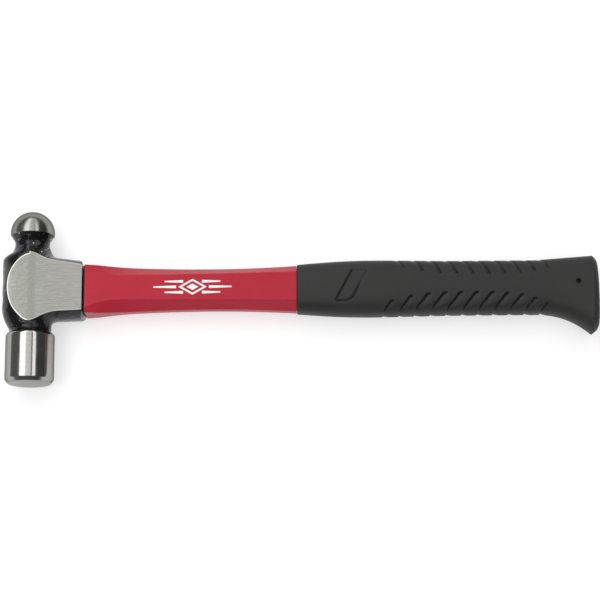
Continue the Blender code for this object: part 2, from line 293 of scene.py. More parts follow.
NECK_WIDE = 12.0
NECK_SLIM = 10.0
NECK_TAPER_Y = (20.5, 28.0)
UPPER_CUT_Y = 28.4
LOWER_CUT_Y = -22.6
NECK_FLATNESS = 1.5
NECK_TURNS_ROUND_IN = 5
BOSS_SHIFT = 0.35
BOSS_BLEND = 10.0
BOSS_RADIUS_BELOW = (18.3, -0.03)
BOSS_RADIUS_ABOVE = (20.9, -0.123)
BOSS_SQUARENESS = 2.25
FILLET_BELOW = (3.2, 7.0)
FILLET_ABOVE = (4.4, 4.2)
CHEEK_HALF = 12.0
CHEEK_EDGE = ((0.2, 0.3), (0.55, 0.09))
END_EDGE = ((0.15, 0.15),)
END_SLOPE = 2.35
END_FLAT_HALF = 8.0
END_SLOPE_REACH = 9.5
UPPER_DROP = (18.0, 0.24)
LOWER_DROP = (-9.0, 0.0255)
CHEEK_BULGE = 7.0
CHEEK_BULGE_Y = 1.5
CHEEK_BULGE_REACH = (15.5, 14.0)
CELL = 0.55
NECK_STOCK = 1.0
CHEEK_STOCK = 0.7
END_STOCK = 0.9
BALL_RADIUS = 12.8
RIM_DROP = 1.4
FACE_RADIUS = 12.0
FACE_CROWN = 0.35
PAINTED, GROUND, POLISHED, SATIN, BRUSHED = range(5)


def neck_radius(y):
    """The turned neck under the boss: wide at the poll, slimmer towards the ball."""
    start, end = NECK_TAPER_Y
    return NECK_WIDE - (NECK_WIDE - NECK_SLIM) * smooth_step((y - start) / (end - start))


def top_reach(y):
    """How far the head's top end stands out from the head's axis."""
    upper_start, upper_rate = UPPER_DROP
    lower_start, lower_rate = LOWER_DROP
    upper_drop = upper_rate * np.maximum(y - upper_start, 0.0) ** 2
    lower_drop = lower_rate * np.maximum(lower_start - y, 0.0) ** 2
    return smooth_max(neck_radius(y), HEAD_TOP - upper_drop - lower_drop, 1.2)


def top_thickness(y):
    """Half thickness of the oval that the head's top end has across the head's axis."""
    offset = y - CHEEK_BULGE_Y
    reach = np.where(offset < 0.0, *CHEEK_BULGE_REACH)
    swell = CHEEK_BULGE * np.exp(-((offset / reach) ** 2))
    return neck_radius(y) - NECK_FLATNESS + swell * smooth_step((y - LOWER_CUT_Y) / 3.0)


def forging_field(x, y, z):
    """The forging between the two necks: negative inside, before the cheeks are ground."""
    radius = neck_radius(y)
    neck = (np.hypot(x / radius, z / (radius - NECK_FLATNESS)) - 1.0) * radius
    height = y - BOSS_SHIFT
    above = smooth_step(0.5 + height / BOSS_BLEND)
    lower, upper = [start + slope * x for start, slope in (BOSS_RADIUS_BELOW, BOSS_RADIUS_ABOVE)]
    power = BOSS_SQUARENESS
    boss = (np.abs(height) ** power + np.abs(z) ** power) ** (1.0 / power)
    boss = boss - lower - (upper - lower) * above
    square = (z / CHEEK_HALF) ** 2
    lower, upper = [least + gain * square for least, gain in (FILLET_BELOW, FILLET_ABOVE)]
    behind = smooth_min(neck, boss, lower + (upper - lower) * above)
    reach = top_reach(y)
    thickness = top_thickness(y)
    front = (np.hypot(x / reach, z / thickness) - 1.0) * np.minimum(reach, thickness)
    body = np.where(x < 0.0, front, behind)
    back = END_SLOPE * (np.maximum(0.0, np.abs(y) - END_FLAT_HALF) / END_SLOPE_REACH) ** 2
    body = smooth_max(body, x - BOSS_END - END_STOCK + back, 0.4)
    ends = np.maximum(y - UPPER_CUT_Y - NECK_STOCK, LOWER_CUT_Y - NECK_STOCK - y)
    sides = np.maximum(np.abs(z) - CHEEK_HALF - CHEEK_STOCK, x - BOSS_END - 1.2)
    return np.maximum(body, np.maximum(ends, sides))


def cut_plane(solid, place, direction, fill):
    """Cut the mesh square off at a plane and return the new rim, or the cap if filled."""
    geometry = solid.verts[:] + solid.edges[:] + solid.faces[:]
    result = bmesh.ops.bisect_plane(
        solid, geom=geometry, dist=0.01, plane_co=place, plane_no=direction, clear_outer=True)
    rim = [item for item in result["geom_cut"] if isinstance(item, bmesh.types.BMVert)]
    bmesh.ops.remove_doubles(solid, verts=rim, dist=0.14)
    axis = Vector(direction)
    level = axis.dot(Vector(place))
    edges = [edge for edge in solid.edges if edge.is_boundary
             and all(abs(axis.dot(vert.co) - level) < 0.02 for vert in edge.verts)]
    if not fill:
        return edges
    return bmesh.ops.edgeloop_fill(solid, edges=edges)["faces"]


def soften_rim(cap):
    """Even out the points round a cap's rim, but keep its corners and long straight edges."""
    rim = list(cap.verts)
    for _ in range(8):
        moved = []
        for index, vert in enumerate(rim):
            before, after = rim[index - 1].co, rim[(index + 1) % len(rim)].co
            turn = (vert.co - before).angle(after - vert.co, 0.0)
            longest = max((vert.co - before).length, (after - vert.co).length)
            share = 0.5 if turn < 0.6 and longest < 2.0 * CELL else 0.0
            moved.append(vert.co.lerp((before + after) / 2.0, share))
        for vert, point in zip(rim, moved):
            vert.co = point


def ground_flat(solid, place, direction, edge, finishes):
    """Grind a flat at a plane, stepping up to it through an edge of (width, rise) bands."""
    start = Vector(place) - Vector(direction) * sum(rise for width, rise in edge)
    caps = cut_plane(solid, start, direction, fill=True)
    for cap in caps:
        soften_rim(cap)
        cap.normal_update()
        if cap.normal.dot(Vector(direction)) < 0.0:
            cap.normal_flip()
    for (width, rise), finish in zip(edge, finishes):
        ring = bmesh.ops.inset_region(
            solid, faces=caps, thickness=width, depth=rise, use_even_offset=False)
        for face in ring["faces"]:
            face.material_index = finish
    for face in caps:
        face.material_index = finishes[-1]


def ordered_loop(edges):
    """The vertices of a closed loop of edges, in order."""
    links = {}
    for edge in edges:
        first, second = edge.verts
        links.setdefault(first, []).append(second)
        links.setdefault(second, []).append(first)
    loop = [edges[0].verts[0], edges[0].verts[1]]
    while True:
        ahead = [vert for vert in links[loop[-1]] if vert is not loop[-2]][0]
        if ahead is loop[0]:
            return loop
        loop.append(ahead)


def turn_on(solid, edges, profile):
    """Carry a round rim on along a turned profile of (radius, y, finish) to its centre."""
    ring = ordered_loop(edges)
    angles = [math.atan2(vert.co.z, vert.co.x) for vert in ring]
    flatness = [math.hypot(vert.co.x, vert.co.z) - profile[0][0] for vert in ring]
    count = len(ring)
    for row, (radius, y, finish) in enumerate(profile):
        if radius == 0.0:
            centre = solid.verts.new((0.0, y, 0.0))
            faces = [(ring[i], ring[(i + 1) % count], centre) for i in range(count)]
        else:
            keep = max(0.0, 1.0 - (row + 1) / NECK_TURNS_ROUND_IN)
            reach = [radius + keep * flat for flat in flatness]
            outer = [solid.verts.new((out * math.cos(angle), y, out * math.sin(angle)))
                     for out, angle in zip(reach, angles)]
            faces = [(ring[i], ring[(i + 1) % count], outer[(i + 1) % count], outer[i])
                     for i in range(count)]
            ring = outer
        for corners in faces:
            solid.faces.new(corners).material_index = finish


def ball_profile():
    """From the slim neck over the rim and round the ball to its apex."""
    centre_y = APEX_Y - BALL_RADIUS
    rim_y = centre_y - RIM_DROP
    profile = [(10.02, 29.0, PAINTED), (10.12, 29.5, PAINTED), (10.4, 30.1, PAINTED)]
    profile += [(12.25, rim_y - 0.55, PAINTED), (12.5, rim_y - 0.28, PAINTED)]
    steps = 40
    start = math.pi / 2.0 + math.asin(RIM_DROP / BALL_RADIUS)
    for index in range(steps + 1):
        angle = start * (1.0 - index / steps)
        radius = BALL_RADIUS * math.sin(angle) if index < steps else 0.0
        profile.append((radius, centre_y + BALL_RADIUS * math.cos(angle), BRUSHED))
    return profile


def poll_profile():
    """From the wide neck over the shoulder and down the poll to the crowned face."""
    profile = [(11.93, -23.0, PAINTED), (11.98, -23.5, PAINTED), (12.2, -24.0, PAINTED)]
    profile += [(13.45, -25.35, PAINTED), (13.72, -25.7, PAINTED)]
    profile += [(13.95, -26.05, POLISHED), (14.07, -26.5, POLISHED), (POLL_RADIUS, -27.1, POLISHED)]
    for index in range(1, 13):
        profile.append((POLL_RADIUS, -27.1 - 24.4 * index / 12, POLISHED))
    profile += [(POLL_RADIUS - 0.05, -51.75, POLISHED), (POLL_RADIUS - 0.2, -51.95, POLISHED)]
    profile += [(12.55, FACE_Y + 0.75, POLISHED), (12.3, FACE_Y + 0.5, SATIN)]
    steps = 8
    for index in range(1, steps + 1):
        radius = FACE_RADIUS * (1.0 - index / steps)
        profile.append((radius, FACE_Y + FACE_CROWN * (radius / FACE_RADIUS) ** 2, SATIN))
    return profile


def eye_cutter():
    """The oval eye, flared where it opens at the head's top end."""
    half_height = EPOXY_HALF[0] + GAP
    half_thickness = EPOXY_HALF[1] + GAP
    stations = [(-19.0, 2.6), (-17.0, 1.5), (-16.2, 0.75), (-15.4, 0.25), (-14.4, 0.0)]
    stations += [(BOSS_END - 0.8, 0.0), (BOSS_END + 2.0, 1.4)]
    loops = [oval_loop(x, half_height + flare, half_thickness + flare) for x, flare in stations]
    return object_from_mesh("eye_cutter", loft(loops))


def make_head(*finishes):
    """One forging: ball, necks, boss and poll, with ground cheeks and a pierced eye."""
    low = (-HEAD_TOP - 1.5, LOWER_CUT_Y - 1.8, -CHEEK_HALF - 1.5)
    high = (BOSS_END + 1.6, UPPER_CUT_Y + 1.8, CHEEK_HALF + 1.5)
    points, quads = surface_net(forging_field, low, high, CELL)
    solid = bmesh.new()
    verts = [solid.verts.new(point) for point in points]
    for corners in quads:
        solid.faces.new([verts[corner] for corner in corners])
    for side in (-1.0, 1.0):
        bands = (PAINTED, POLISHED, GROUND)
        ground_flat(solid, (0.0, 0.0, side * CHEEK_HALF), (0.0, 0.0, side), CHEEK_EDGE, bands)
    ground_flat(solid, (BOSS_END, 0.0, 0.0), (1.0, 0.0, 0.0), END_EDGE, (PAINTED, PAINTED))
    upper = cut_plane(solid, (0.0, UPPER_CUT_Y, 0.0), (0.0, 1.0, 0.0), fill=False)
    turn_on(solid, upper, ball_profile())
    lower = cut_plane(solid, (0.0, LOWER_CUT_Y, 0.0), (0.0, -1.0, 0.0), fill=False)
    turn_on(solid, lower, poll_profile())
    head = object_from_mesh("hammer_head_fine", solid)
    for finish in finishes:
        head.data.materials.append(finish)
    cut(head, eye_cutter())
    shade(head)
    break_at_finishes(head)
    return head


# --------------------------------------------------------- core, epoxy and ring


def make_core():
    """The fibreglass rod, with its cut ends chamfered."""
    chamfer = 0.4
    stations = [(CORE_START, -chamfer), (CORE_START + chamfer, 0.0)]
    stations += [(CORE_END - chamfer, 0.0), (CORE_END, -chamfer)]
    loops = [oval_loop(x, CORE_HALF[0] + grow, CORE_HALF[1] + grow) for x, grow in stations]
    core = object_from_mesh("handle_core_fine", loft(loops))
    shade(core)
    return core


def make_epoxy():
    """The adhesive round the core, with a hollow meniscus at the head's top end."""
    outer_x = CORE_START + 0.9
    profile = [(outer_x, 0.0), (outer_x + 0.25, 0.2), (outer_x + 0.3, 0.5), (outer_x, 0.8)]
    profile += [(CORE_START + 0.35, 1.0), (EPOXY_END, 1.0), (EPOXY_END, 0.0)]
    loops = []
    for x, share in profile:
        halves = [outer + (inner + GAP - outer) * share for outer, inner in zip(EPOXY_HALF, CORE_HALF)]
        loops.append(oval_loop(x, *halves))
    epoxy = object_from_mesh("eye_epoxy_fine", loft(loops, closed=True))
    shade(epoxy)
    return epoxy


def make_ring():
    """The rubber seal ring, bulging a little where the jacket squeezes it."""
    section = octagon_loop(*jacket_halves(JACKET_START))
    middle = (RING_START + RING_END) / 2.0
    loops = []
    for x, inset in ((RING_START, 0.75), (middle, 0.5), (RING_END, 0.75)):
        shrink = 1.0 - inset / section[:, 0].max()
        loops.append(loop_at(x, section * shrink))
    for x in (RING_END, RING_START):
        loops.append(core_bore(x, section))
    ring = object_from_mesh("eye_seal_ring_fine", loft(loops, closed=True))
    shade(ring)
    return ring


# ---------------------------------------------------------------------- jacket

WAIST_X = 104.0
TAPER_X = 39.0
HALF_AT_HEAD = 14.2
HALF_AT_WAIST = 12.0
HALF_AT_GRIP = 13.6
JACKET_THICKNESS = 9.8
FLAT_HALF = 7.2
SIDE_HALF = 2.8
# Where the flats and the sides start to widen, over what length, and by how much.
FLAT_TO_HEAD = (52.0, -21.0)
FLAT_GAIN_AT_HEAD = 5.2
FLAT_TO_GRIP = (80.0, 74.0)
FLAT_GAIN_AT_GRIP = 1.2
SIDE_TO_HEAD = (60.0, -29.0)
SIDE_GAIN_AT_HEAD = 6.2
CORNER_RADIUS = 1.1
CORNER_STEPS = 5
JACKET_STATIONS = 96
TAIL_HALF = (11.8, 9.2)
TAIL_CORNER = (7.7, 3.6)


def share_past(x, start, length):
    """How far a place is past a start, as a share of a length, and 0 before it."""
    return max(0.0, (x - start) / length)


def jacket_halves(x):
    """Half height, half thickness, half flat width and half side of the jacket."""
    if x <= WAIST_X:
        reach = min(1.0, (WAIST_X - x) / (WAIST_X - TAPER_X))
        half = HALF_AT_WAIST + (HALF_AT_HEAD - HALF_AT_WAIST) * reach**2
    else:
        reach = (x - WAIST_X) / (GRIP_START - WAIST_X)
        half = HALF_AT_WAIST + (HALF_AT_GRIP - HALF_AT_WAIST) * reach**2
    thickness = JACKET_THICKNESS + 0.3 * (half - HALF_AT_WAIST)
    flat = FLAT_HALF + FLAT_GAIN_AT_HEAD * share_past(x, *FLAT_TO_HEAD) ** 2.2
    flat = flat + FLAT_GAIN_AT_GRIP * share_past(x, *FLAT_TO_GRIP)
    side = SIDE_HALF + SIDE_GAIN_AT_HEAD * share_past(x, *SIDE_TO_HEAD) ** 1.5
    return half, thickness, min(flat, half - 1.3), min(side, thickness - 1.2)


def octagon_loop(half, thickness, flat, side, radius=CORNER_RADIUS):
    """An octagon of flats and sides whose corners are rounded, as (y, z) rows."""
    corners = [(half, -side), (half, side), (flat, thickness), (-flat, thickness),
               (-half, side), (-half, -side), (-flat, -thickness), (flat, -thickness)]
    corners = [Vector(corner) for corner in corners]
    loop = []
    for index, corner in enumerate(corners):
        back = (corners[index - 1] - corner).normalized()
        ahead = (corners[(index + 1) % 8] - corner).normalized()
        turn = math.pi - back.angle(ahead)
        setback = radius * math.tan(turn / 2.0)
        centre = corner + (back + ahead).normalized() * radius / math.cos(turn / 2.0)
        first = corner + back * setback - centre
        sweep = math.copysign(turn, back.x * ahead.y - back.y * ahead.x) * -1.0
        for step in range(CORNER_STEPS + 1):
            angle = sweep * step / CORNER_STEPS
            spun = Matrix.Rotation(angle, 2) @ first
            loop.append(centre + spun)
    return np.array(loop)


def core_bore(x, section):
    """The bore for the core, with a point for each point of the section round it."""
    return oval_loop(x, CORE_HALF[0] + GAP, CORE_HALF[1] + GAP, bearings(section))


def make_jacket():
    """The red octagonal jacket, its plain tail inside the grip, and the core's bore."""
    loops = []
    lip = 0.25
    shoulder = GRIP_START - 0.12
    stations = np.linspace(JACKET_START + lip, shoulder - 0.05, JACKET_STATIONS)
    for x, inset in [(JACKET_START, lip), (JACKET_START + 0.08, 0.08)]:
        half, thickness, flat, side = jacket_halves(x)
        loops.append(loop_at(x, octagon_loop(half - inset, thickness - inset, flat, side)))
    for x in stations:
        loops.append(loop_at(x, octagon_loop(*jacket_halves(x))))
    tail = octagon_loop(*TAIL_HALF, *TAIL_CORNER)
    for x in (shoulder, JACKET_END):
        loops.append(loop_at(x, tail))
    for x in (JACKET_END, JACKET_START):
        loops.append(core_bore(x, tail))
    jacket = object_from_mesh("handle_jacket_fine", loft(loops, closed=True))
    shade(jacket, weighted=True)
    return jacket


# ---------------------------------------------------------------------- emblem

EMBLEM_X = 94.0
EMBLEM_PROUD = 0.06
EMBLEM_DEPTH = 0.3


def print_loop(x, low_y, high_y):
    """A thin rectangle across the printed ink at one place along the jacket."""
    top = jacket_halves(x)[1] + EMBLEM_PROUD
    bottom = top - EMBLEM_DEPTH
    return [(x, low_y, bottom), (x, high_y, bottom), (x, high_y, top), (x, low_y, top)]


def make_emblem():
    """White ink: a diamond in a diamond frame, with three tapering bars each side."""
    pieces = []
    diamond = [(-3.4, 0.02), (0.0, 1.9), (3.4, 0.02)]
    pieces.append(loft([print_loop(EMBLEM_X + x, -half, half) for x, half in diamond]))
    for side in (-1.0, 1.0):
        for y, start, end in ((3.2, 5.4, 16.0), (0.0, 9.4, 22.5), (-3.2, 5.4, 16.0)):
            stations = np.linspace(start, end, 7)
            bar = []
            for x in stations:
                half = 0.85 - 0.45 * (x - start) / (end - start)
                bar.append(print_loop(EMBLEM_X + side * x, y - half, y + half))
            pieces.append(loft(bar))
    outer = [(8.2, 0.0), (0.0, 4.7), (-8.2, 0.0), (0.0, -4.7)]
    frame_loops = []
    for x, y in outer:
        top = jacket_halves(EMBLEM_X + x)[1] + EMBLEM_PROUD
        rows = [(1.0, top), (0.74, top), (0.74, top - EMBLEM_DEPTH), (1.0, top - EMBLEM_DEPTH)]
        frame_loops.append([(EMBLEM_X + x * scale, y * scale, z) for scale, z in rows])
    pieces.append(loft(frame_loops, closed=True))
    whole = bmesh.new()
    for piece in pieces:
        scratch = bpy.data.meshes.new("emblem_piece")
        piece.to_mesh(scratch)
        piece.free()
        whole.from_mesh(scratch)
        bpy.data.meshes.remove(scratch)
    return object_from_mesh("jacket_emblem", whole)


# ------------------------------------------------------------------------ grip

GRIP_SIDES = 240
GRIP_STEP = 0.43
SWELL_X = 196.0
MIDDLE_X = 250.0
FLARE_X = 292.0
EDGE_X = BUTT - 3.6
FRONT = (14.3, 11.1)
SWELL = (16.4, 12.9)
MIDDLE = (15.8, 12.2)
BUTT_THICKNESS = 13.5
BALL_SIDE_FLARE = 2.5
FACE_SIDE_FLARE = 12.0
FLARE_POWER = 2.25
SQUARENESS = 2.5
RIM_LEAN = 0.03
LOWER_GROOVES = 11
UPPER_GROOVES = 10
GROOVE_PITCH = 9.05
LOWER_START = (203.4, -16.0)
LOWER_REACH = 11.9
UPPER_START = (211.9, 16.0)
UPPER_REACH = 10.3
GROOVE_WALL = 0.7
SLIT_OFFSET = 0.3
SLIT_WIDTH = 0.42
PIN_HOLE = (315.5, 0.9)
PIN_RADIUS = 1.6
PIN_FLOOR = 10.2


def swell_size(x, index):
    """A size that rises from the grip's front to its swell, then eases off."""
    rise = np.clip((x - GRIP_START) / (SWELL_X - GRIP_START), 0.0, 1.0)
    front = FRONT[index] + (SWELL[index] - FRONT[index]) * np.sin(rise * math.pi / 2.0)
    fall = smooth_step((x - SWELL_X) / (MIDDLE_X - SWELL_X))
    return np.where(x < SWELL_X, front, SWELL[index] + (MIDDLE[index] - SWELL[index]) * fall)


def grip_sizes(x):
    """Ball side, face side and half thickness of the grip along the handle."""
    half = swell_size(x, 0)
    thickness = swell_size(x, 1)
    flare = np.clip((x - FLARE_X) / (EDGE_X - FLARE_X), 0.0, 1.0)
    thickness = thickness + (BUTT_THICKNESS - MIDDLE[1]) * flare**2
    return half + BALL_SIDE_FLARE * flare, half + FACE_SIDE_FLARE * flare**FLARE_POWER, thickness, flare


def even_angles():
    """Angles that space points evenly round the grip's superellipse."""
    fine = np.linspace(0.0, TURN, 4001)
    power = 2.0 / SQUARENESS
    y = MIDDLE[0] * np.sign(np.cos(fine)) * np.abs(np.cos(fine)) ** power
    z = MIDDLE[1] * np.sign(np.sin(fine)) * np.abs(np.sin(fine)) ** power
    length = np.concatenate(([0.0], np.cumsum(np.hypot(np.diff(y), np.diff(z)))))
    return np.interp(length[-1] * np.arange(GRIP_SIDES) / GRIP_SIDES, length, fine)


def grip_loops(stations, insets, leans=1.0):
    """Smooth sections of the grip: rows of points for stations along the handle."""
    x = np.array(stations, float)[:, None]
    inset = np.array(insets, float)[:, None]
    lean = RIM_LEAN * (np.zeros(x.shape) + np.reshape(leans, (-1, 1)))
    angles = even_angles()[None, :]
    ball_side, face_side, thickness, flare = grip_sizes(np.minimum(x, EDGE_X))
    power = 2.0 / SQUARENESS
    across = np.sign(np.cos(angles)) * np.abs(np.cos(angles)) ** power
    through = np.sign(np.sin(angles)) * np.abs(np.sin(angles)) ** power
    y = (ball_side - face_side) / 2.0 + ((ball_side + face_side) / 2.0 - inset) * across
    z = (thickness - inset) * through
    return np.stack((x + lean * flare * y, y, z), axis=2)


def lower_groove(index):
    """A hooked groove that sweeps down and back to the face-side edge."""
    offset = index - 4.3
    drop = (0.06 if offset < 0.0 else 0.037) * abs(offset) ** 3
    edge_x = LOWER_START[0] + GROOVE_PITCH * index
    reach = LOWER_REACH - drop
    shape = [(0.0, 0.0), (0.27, 0.11), (0.55, 0.42), (0.76, 0.6), (0.88, 0.76), (1.0, 1.02)]
    run = 0.84 * reach
    start_x = edge_x + run
    start_y = LOWER_START[1] + reach
    return curve_through([(start_x - run * a, start_y - reach * b) for a, b in shape], 4)


def upper_groove(index):
    """A shorter groove from a notch in the ball-side edge."""
    reach = UPPER_REACH - 0.045 * abs(index - 4.6) ** 3
    edge_x = UPPER_START[0] + (GROOVE_PITCH + 0.13) * index
    shape = [(0.0, -0.05), (0.3, 0.17), (0.66, 0.5), (0.84, 0.8), (1.0, 1.0)]
    run = 0.8 * reach
    return curve_through([(edge_x + run * a, UPPER_START[1] - reach * b) for a, b in shape], 4)


def window_outline():
    """The slanted panel outlined by a fine groove near the front of the grip."""
    corners = [(186.0, 9.2), (181.6, 1.0), (176.5, -8.3), (177.3, -9.4), (182.4, -9.2),
               (185.7, -7.8), (188.2, -3.0), (190.7, 2.2), (194.3, 8.3), (193.8, 9.3)]
    return corners + corners[:1]


def stepped(distance, ramp):
    """A groove's profile: a steep wall at zero distance, then a ramp back to the surface."""
    drop = smooth_step(0.5 + distance / GROOVE_WALL)
    rise = np.clip(1.0 - (distance - GROOVE_WALL / 2.0) / ramp, 0.0, 1.0)
    return drop * rise**1.6


def slit(distance):
    """The profile of a narrow cut."""
    return np.exp(-(distance / SLIT_WIDTH) ** 2)


def groove_depth(x, y):
    """How deep the grip's surface is cut at a place, the same on both broad sides."""
    depth = np.zeros(np.shape(x))
    for index in range(LOWER_GROOVES):
        distance, place = path_distance(x, y, lower_groove(index))
        strength = smooth_step(place / 0.1) * (1.0 - 0.45 * smooth_step((place - 0.7) / 0.3))
        wall_slit = 0.9 * slit(distance - SLIT_OFFSET) * smooth_step((1.0 - place) / 0.22)
        depth = np.maximum(depth, strength * (stepped(distance, 3.4) + wall_slit))
    for index in range(UPPER_GROOVES):
        distance, place = path_distance(x, y, upper_groove(index))
        strength = (0.5 + 0.5 * smooth_step(place / 0.6)) * smooth_step((1.0 - place) / 0.1)
        wall_slit = 0.5 * place * slit(distance + SLIT_OFFSET)
        depth = np.maximum(depth, strength * (0.7 * stepped(-distance, 2.4) + wall_slit))
    distance, place = path_distance(x, y, window_outline())
    strength = 0.95 - 0.5 * smooth_step((place - 0.62) / 0.12)
    return np.maximum(depth, strength * slit(distance))


def surface_normals(loops):
    """Outward normals of a grid of loops."""
    run = np.gradient(loops, axis=0)
    around = np.roll(loops, -1, axis=1) - np.roll(loops, 1, axis=1)
    normal = np.cross(around, run)
    normal /= np.linalg.norm(normal, axis=2)[:, :, None]
    outward = loops[:, :, 1:] - loops[:, :, 1:].mean(axis=1)[:, None, :]
    if (normal[:, :, 1:] * outward).sum() < 0.0:
        normal = -normal
    return normal


def make_grip():
    """The soft grip: a grooved skin, a crowned butt and the cavity for the jacket."""
    lip = 0.6
    body = np.arange(GRIP_START + lip, EDGE_X, GRIP_STEP)
    skin = grip_loops(body, np.zeros(len(body)))
    depth = groove_depth(skin[:, :, 0], skin[:, :, 1])
    skin = skin - surface_normals(skin) * depth[:, :, None]
    front = grip_loops((GRIP_START, GRIP_START + 0.1, GRIP_START + 0.3), (lip, 0.3, 0.08))
    edge = [(0.0, 0.0, 1.0), (0.25, 0.15, 0.95), (2.2, 1.9, 0.6), (2.55, 2.4, 0.5), (2.9, 3.1, 0.35)]
    edge += [(3.2, 4.3, 0.15), (3.42, 6.5, 0.0), (3.52, 9.5, 0.0), (3.56, 11.5, 0.0)]
    run, inset, lean = zip(*edge)
    butt = grip_loops(EDGE_X + np.array(run), inset, lean)
    clearance = 1.2 * GAP
    section = octagon_loop(TAIL_HALF[0] + clearance, TAIL_HALF[1] + clearance, 7.9, 3.8)
    cavity_end = JACKET_END + GAP
    mouth, floor_loop = (resampled(section, skin[0], x) for x in (GRIP_START, cavity_end))
    loops = [floor_loop, mouth] + list(front) + list(skin) + list(butt)
    grip = object_from_mesh("grip_fine", loft(loops))
    for side in (-1.0, 1.0):
        cut(grip, pin_cutter(side))
    shade(grip, angle=48.0)
    return grip


def resampled(section, like, x):
    """A section's outline with a point at the same bearing as each point of a loop."""
    wanted = bearings(like[:, 1:])
    share = np.linspace(0.0, 1.0, 40, endpoint=False)[None, :, None]
    ahead = np.roll(section, -1, axis=0)
    fine = (section[:, None, :] * (1.0 - share) + ahead[:, None, :] * share).reshape(-1, 2)
    own = bearings(fine)
    order = np.argsort(own)
    radius = np.interp(wanted, own[order], np.hypot(*fine[order].T), period=TURN)
    return oval_loop(x, radius, radius, wanted)


def pin_cutter(side):
    """One small blind hole in the grip's broad side, a little wider at its mouth."""
    mouth = BUTT_THICKNESS - 0.55
    stations = [(PIN_FLOOR, PIN_RADIUS), (mouth, PIN_RADIUS), (mouth + 1.2, PIN_RADIUS + 0.3)]
    loops = []
    for height, radius in stations:
        angles = TURN * np.arange(32) / 32
        loops.append(np.column_stack((
            PIN_HOLE[0] + radius * np.cos(angles),
            PIN_HOLE[1] + radius * np.sin(angles),
            np.full(32, side * height))))
    return object_from_mesh("pin_cutter", loft(loops))


# ------------------------------------------------------------------- materials


RANGE_SOCKETS = ("From Min", "From Max", "To Min", "To Max")


class Shader:
    """A Principled material, with short ways to add nodes and wire them."""

    def __init__(self, name, colour, roughness, **values):
        self.material = bpy.data.materials.new(name)
        self.material.use_nodes = True
        self.tree = self.material.node_tree
        self.main = self.tree.nodes["Principled BSDF"]
        self.main.inputs["Base Color"].default_value = (*colour, 1.0)
        self.main.inputs["Roughness"].default_value = roughness
        for key, value in values.items():
            self.main.inputs[key.replace("_", " ")].default_value = value
        self.place = self.add("ShaderNodeTexCoord").outputs["Object"]

    def add(self, kind, **inputs):
        """A node whose inputs are values or other nodes' outputs."""
        node = self.tree.nodes.new(kind)
        for key, value in inputs.items():
            socket = node.inputs[int(key[2:])] if key.startswith("in") else node.inputs[key]
            self.feed(socket, value)
        return node

    def feed(self, socket, value):
        """Set a socket, or link an output to it."""
        if isinstance(value, bpy.types.NodeSocket):
            self.tree.links.new(value, socket)
        else:
            socket.default_value = value

    def stretched(self, scale):
        """Hammer coordinates scaled differently along each axis."""
        return self.add("ShaderNodeMapping", Vector=self.place, Scale=scale).outputs[0]

    def noise(self, scale, detail=3.0, stretch=(1.0, 1.0, 1.0), roughness=0.5):
        """Noise of so many features a metre, stretched along the axes."""
        place = self.stretched(tuple(scale * part for part in stretch))
        node = self.add("ShaderNodeTexNoise", Vector=place, Scale=1.0, Detail=detail)
        node.inputs["Roughness"].default_value = roughness
        return node.outputs["Fac"]

    def spread(self, value, low, high, to_low=0.0, to_high=1.0):
        """Map a range of a value to another range, held at its ends."""
        node = self.add("ShaderNodeMapRange", Value=value)
        for key, number in zip(RANGE_SOCKETS, (low, high, to_low, to_high)):
            node.inputs[key].default_value = number
        return node.outputs["Result"]

    def calculate(self, operation, first, second=0.0):
        """A sum, product or comparison of two values."""
        node = self.add("ShaderNodeMath", in0=first, in1=second)
        node.operation = operation
        return node.outputs[0]

    def mix(self, share, first, second):
        """Blend two colours."""
        node = self.tree.nodes.new("ShaderNodeMix")
        node.data_type = "RGBA"
        for number, value in ((0, share), (6, first), (7, second)):
            if isinstance(value, tuple) and len(value) == 3:
                value = (*value, 1.0)
            self.feed(node.inputs[number], value)
        return node.outputs[2]

    def axis(self, name):
        """One hammer coordinate, in metres."""
        return self.add("ShaderNodeSeparateXYZ", Vector=self.place).outputs[name]

    def bump(self, height, strength, distance):
        """Fine relief, in metres, on top of any that is already there."""
        node = self.add("ShaderNodeBump", Height=height, Strength=strength, Distance=distance)
        normal = self.main.inputs["Normal"]
        if normal.links:
            self.tree.links.new(normal.links[0].from_socket, node.inputs["Normal"])
        self.tree.links.new(node.outputs["Normal"], normal)

    def colour(self, value):
        self.feed(self.main.inputs["Base Color"], value)

    def rough(self, value):
        self.feed(self.main.inputs["Roughness"], value)


def painted_forging():
    """Glossy black paint over an uneven forged surface, chipped to bare steel at the necks."""
    shader = Shader("black_paint", (0.008, 0.008, 0.009), 0.2, Specular_IOR_Level=0.32)
    lumps = shader.noise(320.0, detail=3.0)
    peel = shader.noise(1500.0, detail=2.0)
    shader.bump(lumps, 0.8, 0.5 * MM)
    shader.bump(peel, 0.5, 0.05 * MM)
    worn_necks = shader.spread(shader.calculate("ABSOLUTE", shader.axis("Y")), 0.0205, 0.0225, 0.0, 0.05)
    flaws = shader.calculate("ADD", shader.noise(500.0, detail=4.0, roughness=0.5), worn_necks)
    chips = shader.spread(flaws, 0.69, 0.72)
    shader.colour(shader.mix(chips, (0.007, 0.007, 0.008), (0.45, 0.45, 0.43)))
    shader.feed(shader.main.inputs["Metallic"], chips)
    shader.rough(shader.spread(shader.noise(180.0), 0.3, 0.7, 0.07, 0.18))
    return shader.material


